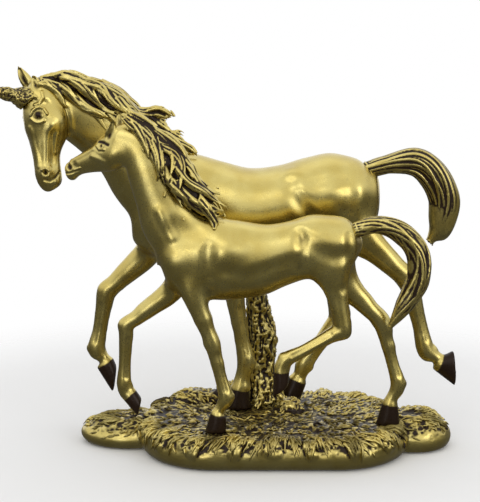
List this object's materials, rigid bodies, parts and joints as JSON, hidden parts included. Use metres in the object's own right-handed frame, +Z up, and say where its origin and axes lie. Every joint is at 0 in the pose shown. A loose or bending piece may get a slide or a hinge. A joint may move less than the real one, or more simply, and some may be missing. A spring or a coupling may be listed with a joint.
{
  "type": "unicorn figurine",
  "caption": "Antique-gold resin ornament of a trotting unicorn mare nuzzling her foal, on a rocky, grassy base with a tree-trunk support, for standing on a shelf.",
  "frame": {"origin": "middle of the base's footprint, on the table surface", "axes": "+Z up; the animals face -X and show their left sides to -Y"},
  "size_m": [0.3147, 0.1217, 0.249],
  "materials": {
    "gold_resin": "satin antique-gold metallic paint over cold-cast resin, dark wash in the hollows",
    "hair_resin": "antique-gold metallic paint with a heavy dark brown wash between the strands",
    "horn_resin": "dark bronze wash over rough gold",
    "bark_resin": "gold dry-brushed over dark brown bark",
    "rock_resin": "gold dry-brushed over dark rock and grass, smooth golden-brown rim",
    "steel_pin": "plain drawn wire",
    "felt": "thin adhesive felt"
  },
  "bodies": {
    "root": {"base_felt": "felt", "belly_pin": "steel_pin", "foal_left_foreleg": "gold_resin", "foal_left_hind_leg": "gold_resin", "foal_leg_dowels": "steel_pin", "foal_mane": "hair_resin", "foal_neck": "gold_resin", "foal_neck_dowel": "steel_pin", "foal_right_foreleg": "gold_resin", "foal_right_hind_leg": "gold_resin", "foal_tail": "hair_resin", "foal_tail_dowel": "steel_pin", "foal_torso": "gold_resin", "hoof_pins": "steel_pin", "horn_pin": "steel_pin", "mare_horn": "horn_resin", "mare_left_foreleg": "gold_resin", "mare_left_hind_leg": "gold_resin", "mare_leg_dowels": "steel_pin", "mare_mane": "hair_resin", "mare_neck": "gold_resin", "mare_neck_dowel": "steel_pin", "mare_right_foreleg": "gold_resin", "mare_right_hind_leg": "gold_resin", "mare_tail": "hair_resin", "mare_tail_dowel": "steel_pin", "mare_torso": "gold_resin", "rock_base": "rock_resin", "tree_trunk": "bark_resin", "trunk_pins": "steel_pin"}
  },
  "joints": []
}
